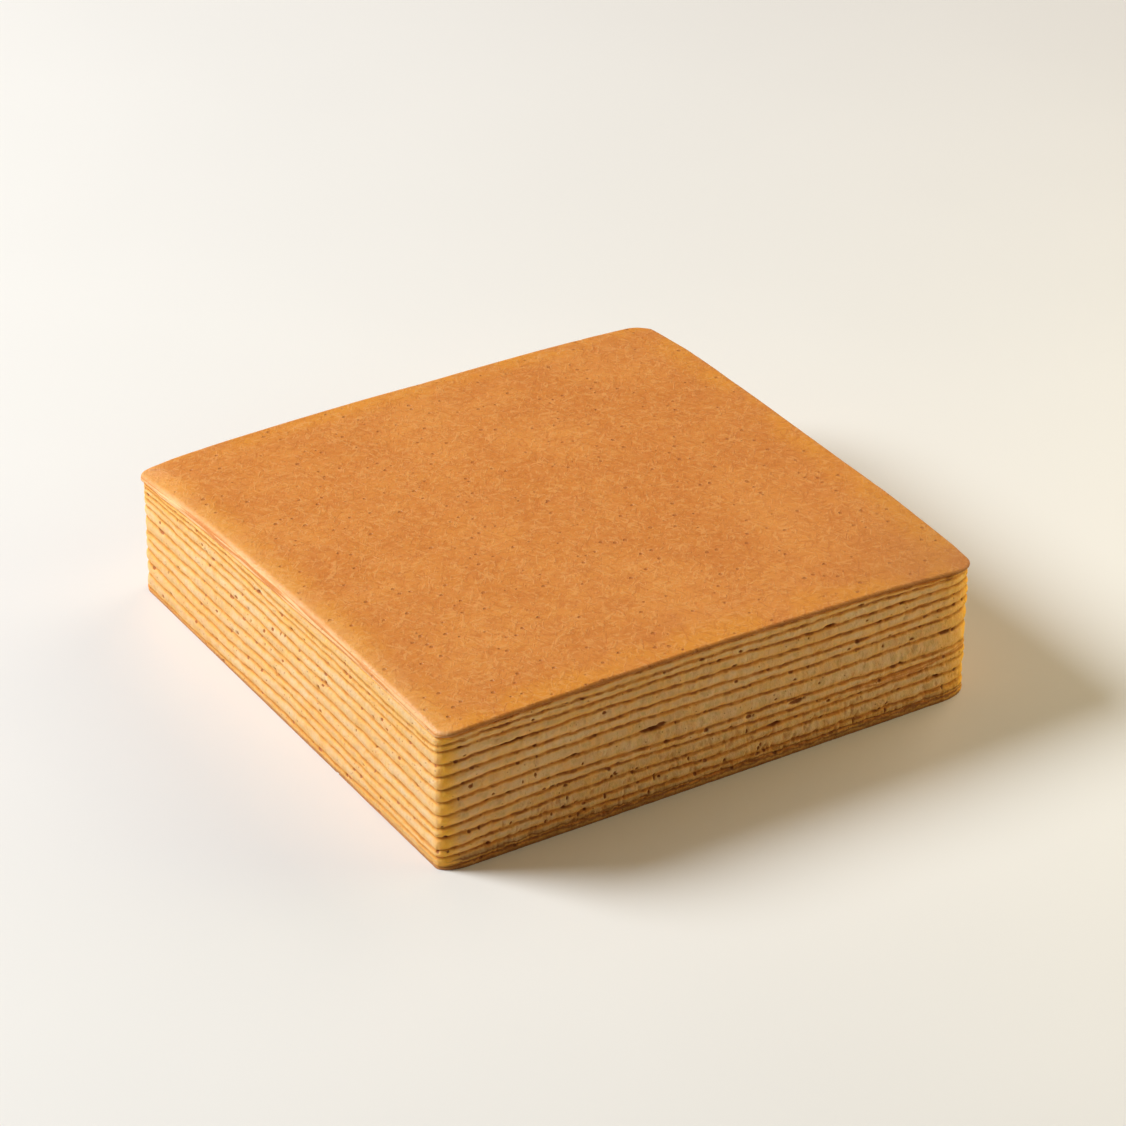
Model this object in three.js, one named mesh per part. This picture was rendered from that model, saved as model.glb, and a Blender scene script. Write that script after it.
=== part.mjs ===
// Lapis legit: a square slab of many thin baked layers, cut clean on all four sides.
// Millimetres, +Z up. The origin is at the middle of the underside.
// Near, right, back and left name the four upright corners, counterclockwise seen from above.
// Front is the side between near and right, and the left side runs between left and near.
import * as THREE from 'three';

// Driving dimensions
const SIDE = 200; // the slab's length and its width
const HALF = SIDE / 2;

// Height of the top above the table, from the left side to the right side of the slab.
// The top is gently domed and sinks towards the left and back corners.
const TOP_FRONT_ROW = [51.5, 52.6, 49.9];
const TOP_MIDDLE_ROW = [51.0, 53.2, 50.6];
const TOP_BACK_ROW = [45.2, 46.8, 45.0];

// Thickness of each layer but the top one, from the bottom up, at nine places 50 mm apart:
// along the left side from the left corner to the near one, then along the front to the right.
// The near corner's place belongs to both sides.
const LAYER_THICKNESS = [
  [0.5, 0.5, 0.5, 0.8, 1.1, 1.9, 2.6, 2.8, 2.2],
  [1.1, 1.4, 2.6, 2.7, 3.8, 3.5, 2.5, 2.7, 3.4],
  [5.2, 4.4, 4.7, 3.8, 2.8, 3.6, 4.2, 4.7, 5.1],
  [4.8, 4.5, 4.6, 4.1, 4.1, 4.5, 3.9, 4.0, 4.0],
  [4.6, 4.4, 3.8, 3.7, 3.9, 4.4, 4.8, 2.8, 2.9],
  [4.3, 4.5, 4.5, 4.8, 4.1, 3.6, 2.7, 3.7, 2.5],
  [2.7, 4.9, 4.3, 5.1, 4.9, 5.5, 6.1, 5.9, 6.3],
  [5.5, 4.4, 4.4, 4.9, 5.0, 4.8, 4.9, 5.1, 6.2],
  [4.7, 4.6, 4.3, 4.0, 4.3, 4.1, 4.1, 3.0, 4.1],
  [2.8, 3.1, 4.3, 4.5, 4.8, 4.4, 4.6, 4.2, 3.6],
  [2.2, 3.9, 3.3, 3.6, 4.4, 4.0, 4.2, 4.5, 3.4],
  [2.0, 2.6, 2.4, 2.7, 2.6, 2.9, 2.7, 3.8, 2.5],
];
const LAYER_COUNT = LAYER_THICKNESS.length + 1;
const SPANS = 4; // the number of 50 mm spans along a side
const HIDDEN_TOP_LAYER = 4.4; // thickness of the top layer where the photo doesn't show the side
const HIDDEN_UNEVENNESS = 0.5; // how much of a seen side's unevenness the unseen one facing it has

// The lowest layers are thinner on the left side of the near corner than in front of it.
const CORNER_STEP = [0.8, 0.6, 0.3];
const CORNER_STEP_WIDTH = 9;
const CORNER_STEP_REACH = 35;

// The boundaries between layers also undulate, but less where a layer is thin.
const UNDULATION = 0.3;
const UNDULATION_SHARE = 0.12; // most, as a share of the thinner layer that meets there
const SHORTEST_WAVE = 34;
const LONGEST_WAVE = 90;
const WAVES_ADDED = 2;

// The upright corners are rounded, as far as this along x and along y.
const CORNER_ROUND = { near: [10, 5], right: [9, 5], back: [9, 9], left: [4.5, 4.5] };
const CRUST_CORNER_ROUND = { near: [6, 5], right: [8, 7], back: [9, 8], left: [5, 5] };
const LEAST_ROUND = 0.5; // what stays of the rounding where the outline is set in

// Each layer's cut edge bulges a little, with a groove where two layers meet.
const BULGE_INSET = 0.3;
const GROOVE_INSET = 0.8;
const BULGE_SHARPNESS = 4;
const EDGE_WANDER = 0.15; // how far a bulge or a groove wanders in and out
const ROWS_UP_A_LAYER = [0, 0.18, 0.5, 0.82, 1];

// The underside is set in a little, because the browned base has a rounded rim.
const FOOT_INSET = 1.2;

// The baked skin rolls over the top edge: how far down and how far in, for each side.
const SKIN_DROP = { front: 1.3, right: 1.8, back: 2.4, left: 3.0 };
const SKIN_ROLL = { front: 1.9, right: 2.6, back: 3.6, left: 4.0 };
const SKIN_STEPS = 3;
const UNDER_SKIN_GAP = 0.4; // height of the groove below the skin
const UNDER_SKIN_INSET = 0.8;
const LEAST_TOP_EDGE = 1.2; // least height of the top layer's cut edge below that groove
const TOP_BULGE_SHARE = 0.35; // where up that edge it bulges most

// How finely the solids are faceted
const CORNER_STEPS = 5;
const SIDE_STEPS = 10;
const RING_STEPS = 4 * (CORNER_STEPS + SIDE_STEPS);
const INNER_RING_STEPS = RING_STEPS / 4;
const INNER_RING_SHARE = 0.6;
const TOP_RING_INSETS = [8, 22];
const TOP_HALF_RING_SHARE = 0.55;

const CRUMB_COLOURS = [0xe3b566, 0xdfae5d, 0xe6ba6e];
const BASE_COLOUR = 0x9a5c2a;
const CRUST_COLOUR = 0xc98345;
const CRUMB_ROUGHNESS = 0.85;
const CRUST_ROUGHNESS = 0.55;

const SEED = 20;

function seededRandom(seed) {
  let state = seed;
  return () => {
    state = (state + 0x6d2b79f5) | 0;
    let t = Math.imul(state ^ (state >>> 15), 1 | state);
    t = (t + Math.imul(t ^ (t >>> 7), 61 | t)) ^ t;
    return ((t ^ (t >>> 14)) >>> 0) / 2 ** 32;
  };
}

const random = seededRandom(SEED);
const mix = (a, b, share) => a + (b - a) * share;
const mean = (...values) => values.reduce((sum, value) => sum + value, 0) / values.length;

// The smooth curve through evenly spaced values, from share 0 to share 1.
function throughValues(values, share) {
  const place = share * (values.length - 1);
  const i = Math.min(Math.floor(place), values.length - 2);
  const t = place - i;
  const [from, to] = [values[i], values[i + 1]];
  const before = values[i - 1] ?? 2 * from - to;
  const after = values[i + 2] ?? 2 * to - from;
  const slopeFrom = (to - before) / 2;
  const slopeTo = (after - from) / 2;
  const bend = t * (1 - t);
  return mix(from, to, t * t * (3 - 2 * t)) + bend * ((1 - t) * slopeFrom - t * slopeTo);
}

// The smooth surface that has the four curves as its rims. Front and back run along x, and left
// and right along y.
function overPlan({ front, back, left, right }, x, y) {
  const u = (x + HALF) / SIDE;
  const v = (y + HALF) / SIDE;
  const frontToBack = mix(throughValues(front, u), throughValues(back, u), v);
  const leftToRight = mix(throughValues(left, v), throughValues(right, v), u);
  const corners = mix(mix(front[0], front.at(-1), u), mix(back[0], back.at(-1), u), v);
  return frontToBack + leftToRight - corners;
}

function topHeight(x, y) {
  const rows = [TOP_FRONT_ROW, TOP_MIDDLE_ROW, TOP_BACK_ROW];
  const across = rows.map((row) => throughValues(row, (x + HALF) / SIDE));
  return throughValues(across, (y + HALF) / SIDE);
}

// The rims of one layer's thickness. The sides that aren't seen repeat the seen ones, evened out.
function thicknessRims(row) {
  const left = row.slice(0, SPANS + 1).reverse();
  const front = row.slice(SPANS);
  const backCorner = mean(left.at(-1), front.at(-1));
  const evened = (values, start, end) =>
    values.map((value, i) => {
      const share = i / SPANS;
      const arch = 4 * share * (1 - share);
      return mix(mix(start, end, share), value, HIDDEN_UNEVENNESS * arch);
    });
  return {
    front,
    left,
    back: evened(front, left.at(-1), backCorner),
    right: evened(left, front.at(-1), backCorner),
  };
}

const THICKNESS_RIMS = LAYER_THICKNESS.map(thicknessRims);

// How much the layers are stretched, so that they leave the top layer its thickness at the rims
// that aren't seen. At the seen rims the table holds as it is.
function hiddenStretch(side, i) {
  const stacked = THICKNESS_RIMS.reduce((sum, rims) => sum + rims[side][i], 0);
  const along = -HALF + (i * SIDE) / SPANS;
  const top = side === 'back' ? topHeight(along, HALF) : topHeight(HALF, along);
  const seen = i === 0;
  return seen ? 1 : (top - HIDDEN_TOP_LAYER) / stacked;
}

const PLACES = Array.from({ length: SPANS + 1 }, (_, i) => i);
const STRETCH_RIMS = {
  front: PLACES.map(() => 1),
  left: PLACES.map(() => 1),
  back: PLACES.map((i) => hiddenStretch('back', i)),
  right: PLACES.map((i) => hiddenStretch('right', i)),
};

function makeWave() {
  const length = mix(SHORTEST_WAVE, LONGEST_WAVE, random());
  const heading = 2 * Math.PI * random();
  const phase = 2 * Math.PI * random();
  const turn = (2 * Math.PI) / length;
  return (x, y) => Math.sin(turn * (x * Math.cos(heading) + y * Math.sin(heading)) + phase);
}

function makeWaves() {
  const waves = Array.from({ length: WAVES_ADDED }, makeWave);
  return (x, y) => waves.reduce((sum, wave) => sum + wave(x, y), 0) / Math.sqrt(WAVES_ADDED);
}

const BOUNDARY_WAVES = LAYER_THICKNESS.map(makeWaves);

// More thickness in front of the near corner and less to the left of it.
function cornerStep(layer, x, y) {
  const fromCorner = Math.hypot(x + HALF, y + HALF);
  const turn = Math.tanh((x - y) / CORNER_STEP_WIDTH);
  return (CORNER_STEP[layer] ?? 0) * turn * Math.exp(-fromCorner / CORNER_STEP_REACH);
}

// Heights of all the boundaries at a place, from the underside up to the top layer's underside.
function boundaryHeights(x, y) {
  const stretch = overPlan(STRETCH_RIMS, x, y);
  const thickness = THICKNESS_RIMS.map(
    (rims, layer) => overPlan(rims, x, y) * stretch + cornerStep(layer, x, y),
  );
  const heights = [0];
  let stacked = 0;
  thickness.forEach((thick, layer) => {
    const thinner = Math.min(thick, thickness[layer + 1] ?? thick);
    const undulation = Math.min(UNDULATION, UNDULATION_SHARE * thinner);
    stacked += thick;
    heights.push(stacked + undulation * BOUNDARY_WAVES[layer](x, y));
  });
  return heights;
}

const CORNERS = [
  { name: 'near', x: -1, y: -1, startAngle: Math.PI },
  { name: 'right', x: 1, y: -1, startAngle: 1.5 * Math.PI },
  { name: 'back', x: 1, y: 1, startAngle: 0 },
  { name: 'left', x: -1, y: 1, startAngle: 0.5 * Math.PI },
];

function cornerPoint(corner, round, inset, share) {
  const [alongX, alongY] = round[corner.name];
  const angle = corner.startAngle + (share * Math.PI) / 2;
  const radiusX = Math.max(alongX - inset, LEAST_ROUND);
  const radiusY = Math.max(alongY - inset, LEAST_ROUND);
  return [
    corner.x * (HALF - inset - radiusX) + radiusX * Math.cos(angle),
    corner.y * (HALF - inset - radiusY) + radiusY * Math.sin(angle),
  ];
}

// A point of the slab's outline in plan. step runs round it from the near corner.
function outlinePoint(step, round, inset) {
  const stepsPerCorner = CORNER_STEPS + SIDE_STEPS;
  const which = Math.floor(step / stepsPerCorner) % CORNERS.length;
  const within = step % stepsPerCorner;
  const corner = CORNERS[which];
  if (within <= CORNER_STEPS) return cornerPoint(corner, round, inset, within / CORNER_STEPS);
  const next = CORNERS[(which + 1) % CORNERS.length];
  const start = cornerPoint(corner, round, inset, 1);
  const end = cornerPoint(next, round, inset, 0);
  const share = (within - CORNER_STEPS) / SIDE_STEPS;
  return [mix(start[0], end[0], share), mix(start[1], end[1], share)];
}

// A value that each side has in its own measure, blended round the corners.
function bySide(values, step) {
  const names = ['front', 'right', 'back', 'left'];
  const stepsPerCorner = CORNER_STEPS + SIDE_STEPS;
  const which = Math.floor(step / stepsPerCorner) % names.length;
  const within = step % stepsPerCorner;
  const share = Math.min(within / CORNER_STEPS, 1);
  const before = names[(which + names.length - 1) % names.length];
  return mix(values[before], values[names[which]], share * share * (3 - 2 * share));
}

// The heights of the boundaries and of the top, which all the layers share, for each step.
const COLUMNS = Array.from({ length: RING_STEPS }, (_, step) => {
  const [x, y] = outlinePoint(step, CORNER_ROUND, BULGE_INSET);
  return { heights: boundaryHeights(x, y), top: topHeight(x, y) };
});

const GROOVE_WANDER = Array.from({ length: LAYER_COUNT + 1 }, makeWaves);
const BULGE_WANDER = Array.from({ length: LAYER_COUNT }, makeWaves);

function insetWith(wander, base, step) {
  const [x, y] = outlinePoint(step, CORNER_ROUND, 0);
  return base + EDGE_WANDER * wander(x, y);
}

function grooveInset(boundary, step) {
  const base = boundary === 0 ? FOOT_INSET : GROOVE_INSET;
  return insetWith(GROOVE_WANDER[boundary], base, step);
}

function bulgeInset(layer, step) {
  return insetWith(BULGE_WANDER[layer], BULGE_INSET, step);
}

// A closed mesh, put together from rings of points.
class Solid {
  constructor() {
    this.points = [];
    this.faces = [];
  }

  addPoint(x, y, z) {
    this.points.push(x, y, z);
    return this.points.length / 3 - 1;
  }

  addRing(count, pointAt) {
    return Array.from({ length: count }, (_, i) => this.addPoint(...pointAt(i)));
  }

  // Joins two rings with as many points in one as in the other, or a whole number of times more
  // in the outer one. The faces point away from the axis, or up where the rings lie flat.
  join(outer, inner) {
    const ratio = outer.length / inner.length;
    outer.forEach((point, i) => {
      const next = outer[(i + 1) % outer.length];
      const here = inner[Math.floor(i / ratio)];
      this.faces.push(point, next, here);
      if ((i + 1) % ratio === 0) {
        this.faces.push(next, inner[(Math.floor(i / ratio) + 1) % inner.length], here);
      }
    });
  }

  closeOver(ring, x, y, z) {
    const middle = this.addPoint(x, y, z);
    ring.forEach((point, i) => this.faces.push(point, ring[(i + 1) % ring.length], middle));
  }

  // Turns the faces made since a count was taken, so that they point down.
  flipFrom(count) {
    for (let i = count; i < this.faces.length; i += 3) {
      [this.faces[i], this.faces[i + 1]] = [this.faces[i + 1], this.faces[i]];
    }
  }

  geometry() {
    const geometry = new THREE.BufferGeometry();
    geometry.setAttribute('position', new THREE.Float32BufferAttribute(this.points, 3));
    geometry.setIndex(this.faces);
    geometry.computeVertexNormals();
    return geometry;
  }
}

function boundaryPoint(boundary, step) {
  const [x, y] = outlinePoint(step, CORNER_ROUND, grooveInset(boundary, step));
  return [x, y, COLUMNS[step].heights[boundary]];
}

// The face in which two layers meet. Both layers make it alike, so they touch all over.
function addBoundaryFace(solid, ring, boundary) {
  const inner = solid.addRing(INNER_RING_STEPS, (i) => {
    const step = (i * RING_STEPS) / INNER_RING_STEPS;
    const [x, y] = outlinePoint(step, CORNER_ROUND, 0).map((value) => value * INNER_RING_SHARE);
    return [x, y, boundaryHeights(x, y)[boundary]];
  });
  solid.join(ring, inner);
  solid.closeOver(inner, 0, 0, boundaryHeights(0, 0)[boundary]);
}

function addUnderside(solid, ring, boundary) {
  const count = solid.faces.length;
  addBoundaryFace(solid, ring, boundary);
  solid.flipFrom(count);
}

function layerPoint(layer, share, step) {
  if (share === 0) return boundaryPoint(layer, step);
  if (share === 1) return boundaryPoint(layer + 1, step);
  const { heights } = COLUMNS[step];
  const groove = grooveInset(share < 0.5 ? layer : layer + 1, step);
  const pull = Math.abs(2 * share - 1) ** BULGE_SHARPNESS;
  const inset = mix(bulgeInset(layer, step), groove, pull);
  const [x, y] = outlinePoint(step, CORNER_ROUND, inset);
  return [x, y, mix(heights[layer], heights[layer + 1], share)];
}

function makeLayer(layer) {
  const solid = new Solid();
  const rings = ROWS_UP_A_LAYER.map((share) =>
    solid.addRing(RING_STEPS, (step) => layerPoint(layer, share, step)),
  );
  addUnderside(solid, rings[0], layer);
  rings.slice(1).forEach((ring, i) => solid.join(rings[i], ring));
  addBoundaryFace(solid, rings.at(-1), layer + 1);
  return solid.geometry();
}

// How far the skin comes down the side. Where the top layer is thin, it comes down less.
function skinDrop(step) {
  const room = COLUMNS[step].top - COLUMNS[step].heights[LAYER_COUNT - 1];
  return Math.min(bySide(SKIN_DROP, step), room - UNDER_SKIN_GAP - LEAST_TOP_EDGE);
}

// The top layer's cut edge below the skin: up from the groove, out to the bulge and in again.
function addTopLayerEdge(solid, boundary, ring) {
  const layer = LAYER_COUNT - 1;
  const underSkin = (step) => COLUMNS[step].top - skinDrop(step) - UNDER_SKIN_GAP;
  const bulge = solid.addRing(RING_STEPS, (step) => {
    const [x, y] = outlinePoint(step, CORNER_ROUND, bulgeInset(layer, step));
    return [x, y, mix(COLUMNS[step].heights[boundary], underSkin(step), TOP_BULGE_SHARE)];
  });
  const groove = solid.addRing(RING_STEPS, (step) => {
    const [x, y] = outlinePoint(step, CORNER_ROUND, UNDER_SKIN_INSET);
    return [x, y, underSkin(step)];
  });
  solid.join(ring, bulge);
  solid.join(bulge, groove);
  return groove;
}

// The skin's rounded rim, from its widest line up to where it lies flat.
function addSkinRim(solid, ring) {
  let last = ring;
  for (let row = 0; row <= SKIN_STEPS; row += 1) {
    const angle = (row / SKIN_STEPS) * (Math.PI / 2);
    const rim = solid.addRing(RING_STEPS, (step) => {
      const inset = bySide(SKIN_ROLL, step) * (1 - Math.cos(angle));
      const [x, y] = outlinePoint(step, CRUST_CORNER_ROUND, inset);
      return [x, y, COLUMNS[step].top - skinDrop(step) * (1 - Math.sin(angle))];
    });
    solid.join(last, rim);
    last = rim;
  }
  return last;
}

function addDomedTop(solid, ring) {
  let last = ring;
  TOP_RING_INSETS.forEach((inset) => {
    const next = solid.addRing(RING_STEPS, (step) => {
      const [x, y] = outlinePoint(step, CORNER_ROUND, 0).map((value) => value * (1 - inset / HALF));
      return [x, y, topHeight(x, y)];
    });
    solid.join(last, next);
    last = next;
  });
  const inner = solid.addRing(RING_STEPS / 2, (i) => {
    const [x, y] = outlinePoint(2 * i, CORNER_ROUND, 0).map((value) => value * TOP_HALF_RING_SHARE);
    return [x, y, topHeight(x, y)];
  });
  solid.join(last, inner);
  solid.closeOver(inner, 0, 0, topHeight(0, 0));
}

function makeTopLayer() {
  const solid = new Solid();
  const boundary = LAYER_COUNT - 1;
  const ring = solid.addRing(RING_STEPS, (step) => boundaryPoint(boundary, step));
  addUnderside(solid, ring, boundary);
  const groove = addTopLayerEdge(solid, boundary, ring);
  addDomedTop(solid, addSkinRim(solid, groove));
  return solid.geometry();
}

function layerName(layer) {
  return `layer_${String(layer + 1).padStart(2, '0')}`;
}

function makeMaterial(layer) {
  const isCrust = layer === LAYER_COUNT - 1;
  const crumb = layer === 0 ? BASE_COLOUR : CRUMB_COLOURS[layer % CRUMB_COLOURS.length];
  return new THREE.MeshStandardMaterial({
    color: isCrust ? CRUST_COLOUR : crumb,
    roughness: isCrust ? CRUST_ROUGHNESS : CRUMB_ROUGHNESS,
    metalness: 0,
  });
}

const group = new THREE.Group();
for (let layer = 0; layer < LAYER_COUNT; layer += 1) {
  const geometry = layer === LAYER_COUNT - 1 ? makeTopLayer() : makeLayer(layer);
  const mesh = new THREE.Mesh(geometry, makeMaterial(layer));
  mesh.name = layerName(layer);
  group.add(mesh);
}

export default group;
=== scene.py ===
"""The looks of a square slab of baked layer cake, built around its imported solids.

Each layer's solid is replaced by a finer closed mesh, with crumb relief, holes and a groove where
two layers meet. The top layer's mesh also carries the baked skin. The meshes and the materials are
worked out in millimetres, and the scene itself is in metres.
"""

import itertools
import math

import bpy
import numpy as np
from mathutils import Matrix, Vector


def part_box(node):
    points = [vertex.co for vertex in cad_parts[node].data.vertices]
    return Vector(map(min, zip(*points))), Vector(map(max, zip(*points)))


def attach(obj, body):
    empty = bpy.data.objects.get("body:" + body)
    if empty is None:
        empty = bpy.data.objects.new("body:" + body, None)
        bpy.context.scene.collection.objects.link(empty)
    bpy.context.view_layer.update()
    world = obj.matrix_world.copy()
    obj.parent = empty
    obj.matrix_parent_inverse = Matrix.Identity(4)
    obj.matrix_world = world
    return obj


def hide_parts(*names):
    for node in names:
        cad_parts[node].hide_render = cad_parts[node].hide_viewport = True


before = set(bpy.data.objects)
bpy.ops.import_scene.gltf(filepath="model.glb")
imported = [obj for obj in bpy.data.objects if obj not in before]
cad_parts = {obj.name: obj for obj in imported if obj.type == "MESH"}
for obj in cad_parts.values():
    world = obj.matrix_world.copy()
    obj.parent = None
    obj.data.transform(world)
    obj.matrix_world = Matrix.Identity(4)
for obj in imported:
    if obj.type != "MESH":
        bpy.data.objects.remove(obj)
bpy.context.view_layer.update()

MM = 0.001
HIGHEST = [max(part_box(name)[1][axis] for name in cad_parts) / MM for axis in range(3)]
HALF, _, CAD_TOP = HIGHEST  # half the slab's side, and its height
LAYER_COUNT = len(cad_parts)
SEED = 7
LATTICE = 32  # the noise repeats after this many lumps
NOISE_STRENGTH = 1.6

# The camera stands off the near corner, above the slab.
PHOTO_SIDE = 1126  # pixels
FOCAL_LENGTH = 4764.75  # pixels
SENSOR = 36.0  # millimetres
CAMERA_PITCH = math.radians(31.340)
CAMERA_YAW = math.radians(-32.005)
CAMERA_ROLL = math.radians(0.4296)
CAMERA_TARGET = Vector((0.029025, 0.03795, 0.0))
CAMERA_DISTANCE = 1.622

# Soft lights: direction towards the light, distance and size in metres, watts and colour. The key
# comes from the far left, one fill from the far right, and a weak one from low on the near right.
LIGHTS = {
    "key": ((-0.62, 0.49, 0.61), 2.3, 1.05, 80.6, (0.85, 0.92, 0.99)),
    "far_fill": ((0.80, 0.22, 0.56), 4.0, 2.9, 52.0, (1.0, 0.80, 0.60)),
    "near_fill": ((0.80, -0.48, 0.38), 0.7, 0.5, 1.65, (1.0, 0.94, 0.54)),
}
ROOM_COLOUR = (1.0, 0.85, 0.70)
ROOM_STRENGTH = 0.12
FLOOR_COLOUR = (0.805, 0.768, 0.72)
FLOOR_DARKENING = 0.985
FLOOR_PATCHES = 160
FLOOR_SIDE = 8.0

# The outline in plan: each corner's rounding along x and along y.
CRUMB_ROUND = {"near": (10, 5), "right": (11, 6), "back": (9, 9), "left": (6.4, 6.4)}
SKIN_ROUND = {"near": (6, 5), "right": (8, 6), "back": (9, 8), "left": (4, 4)}
CORNERS = (
    ("near", -1, -1, math.pi),
    ("right", 1, -1, 1.5 * math.pi),
    ("back", 1, 1, 0.0),
    ("left", -1, 1, 0.5 * math.pi),
)
SIDES = ("front", "right", "back", "left")
DENSE = 1200  # how many steps a side's length is measured in
RIM_SHARE = 0.9  # a solid's points further out than this share of its half side are on its rim

# How finely the meshes are cut
CRUMB_COLUMNS_A_SIDE = 480
TOP_COLUMNS_A_SIDE = 264
CRUMB_ROWS = 13
TOP_BAND_ROWS = 8
ROW_CROWDING = 0.6  # how much closer together the rows are near the lines
SKIN_ROWS = 9
SKIN_ANGLES = np.linspace(0, math.pi / 2, SKIN_ROWS + 1)
CAP_RINGS = ((4, 2.5), (6, 14), (2, 50))  # how many times fewer points, and how far in

# The cut sides' profile
BULGE_INSET = 0.2
BULGE_WANDER = 0.2
BULGE_GRAIN = 7
BULGE_SHARPNESS = 1.9
FOOT_INSET = 0.3
GROOVE_INSET = 0.15  # and the share of the thinner layer beside it that is added
GROOVE_SHARE = 0.2
GROOVE_LIMITS = (0.35, 0.9)
GROOVE_WANDER = 0.3
GROOVE_GRAIN = 9
TOP_BAND = 1.5  # what the top layer's thickness counts as for the groove below it
SLIT_DEPTH = 0.1
SLIT_HALF_WIDTH = 0.3
SMOOTH_FOOT = 3.5  # how far up the foot's smoother part reaches
FOOT_ROUGHNESS = 0.2
LEAST_INSET = 0.02
# How rough each cut side is. The crumb's colours also use it as the share of painted shade, most on the
# front.
ROUGHNESS = {"front": 1.5, "right": 1.1, "back": 0.8, "left": 0.55}
FRONT_REACH = 6  # how far behind the front's plane still counts as the front

# How far the lines between layers stray from the solids' smooth ones, the shares and grains of the
# noise that they follow, and how far apart the lines lie in it
LINE_WANDER = 0.22
LINE_GRAINS = ((1.0, 7), (0.5, 2.6))
LINES_APART = 30.0

# Relief, in parts of ever finer noise: depth, grain, the scale of its heights and its shift. Where
# that scale is below 1, the lumps stand upright.
CRUMB_RELIEF = ((0.16, 5.0, 1, 0), (0.13, 2.8, 0.6, 120), (0.09, 1.8, 1, 40), (0.05, 0.9, 1, 80))
SKIN_RELIEF = ((0.10, 17, 1, 0), (0.05, 5, 1, 50), (0.03, 2.2, 1, 90))

# Shifts that keep the other uses of the noise apart
BULGE_SHIFT = 200
CRACK_SHIFT = 210
CRACKED_SHIFT = 250
RAGGED_SHIFT = 31
WEDGE_SHIFT = 70

# Upright cracks that the knife dragged. They come in patches, more of them low on the front.
CRACK_DEPTH = 0.28
CRACK_HALF_WIDTH = 0.2
CRACK_GRAIN = 2.0
CRACK_SCALE = (1, 1, 0.35)
CRACKED_GRAIN = 3.6
CRACKED_SCALE = (1, 1, 1.4)
CRACKED_FROM = 0.2
CRACKED_FADE = 0.3
CRACKED_BELOW = 18.0
CRACKED_BELOW_FADE = 6
CORNER_FADE = 8
LOW_CRACKS_MORE = 0.12
OTHER_CRACKS = 0.4  # how strong the others are

# The baked skin's edge: place round the outline, as in outline(), how far in it rolls, how far down
# the side it comes, and how much painted highlight and pale streaks its side has; elsewhere it takes
# painted shade
SKIN_EDGE = (
    (0.5, 1.6, 1.5, 0.5), (1.1, 1.0, 1.1, 0.0), (1.9, 0.9, 1.0, 0.0), (2.5, 0.9, 1.0, 0.0),
    (3.1, 1.3, 1.4, 0.0), (3.9, 1.6, 1.6, 0.1), (4.5, 2.6, 2.0, 0.2), (5.1, 3.4, 2.4, 0.4),
    (5.9, 3.0, 2.2, 0.4), (6.5, 1.3, 1.3, 0.6), (7.1, 2.4, 2.6, 1.0), (7.5, 2.8, 3.2, 1.0),
    (7.9, 2.2, 2.4, 0.8),
)
TOP_TERMS = 4  # how many powers of x and of y the dome's surface has
FLAT_FROM = 5.0  # how far in the dome is measured from
# How much higher the dome's far edges are than its smooth surface: place along the side and height.
BACK_LIFT = (
    (-100, -1.3), (-93, 0.1), (-85, 0.8), (-70, 1.2), (-20, 1.1), (10, 0.7), (80, 1.0), (100, 0.4),
)
RIGHT_LIFT = (
    (-100, -0.8), (-88, 0.1), (-50, 0.2), (-25, -0.4), (5, -0.4), (40, 0.3), (70, 1.2), (100, 0.4),
)
LIFT_REACH = 45.0
UNDER_SKIN_GAP = 0.4
UNDER_SKIN_INSET = 0.8
LEAST_TOP_EDGE = 1.2
SKIN_LIP = ((0.42, 0.36), (0.12, 0.22))  # how far in and how far down, below the widest line
# Where the skin's square grid takes on the rim's outline and height: from which share of the way
# out, and over which share.
GRID_ROUNDING = (0.75, 0.25)
GRID_RISING = (0.94, 0.06)

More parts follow.
